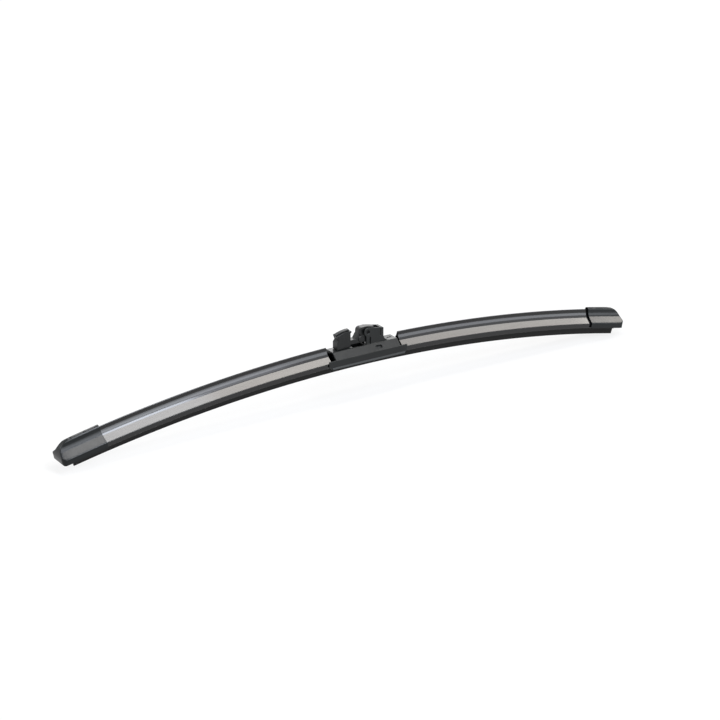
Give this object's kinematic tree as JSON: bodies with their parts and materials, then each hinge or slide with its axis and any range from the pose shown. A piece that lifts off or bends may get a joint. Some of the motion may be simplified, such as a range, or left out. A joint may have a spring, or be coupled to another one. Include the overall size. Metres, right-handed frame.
{
  "type": "flat windscreen wiper blade",
  "caption": "Cambered flat wiper blade: finned spoiler halves and end caps over spring rails and a grooved rubber, with a pivoting arm adapter on a saddle connector.",
  "frame": {"origin": "axis of the arm pivot, where it crosses the blade's middle plane", "axes": "+X along the blade to the right, -Y the windward side that faces the picture, +Z away from the glass"},
  "size_m": [0.5256, 0.0218, 0.0591],
  "materials": {
    "wiper_rubber": "matte",
    "spring_steel": "satin",
    "spoiler": "semi-gloss",
    "moulding": "satin",
    "pin_steel": "satin",
    "adapter_moulding": "satin"
  },
  "bodies": {
    "blade": {"wiper_rubber": "wiper_rubber", "rail_front": "spring_steel", "rail_rear": "spring_steel", "spoiler_left": "spoiler", "spoiler_right": "spoiler", "end_cap_left": "moulding", "end_cap_right": "moulding", "connector_base": "moulding", "pivot_pin": "pin_steel"},
    "adapter": {"arm_adapter": "adapter_moulding"}
  },
  "joints": [
    {"name": "adapter_pivot", "type": "hinge", "parent": "blade", "child": "adapter", "pos_m": [0, 0, 0], "axis": [0, 1, 0], "range_deg": [0, 25]}
  ]
}
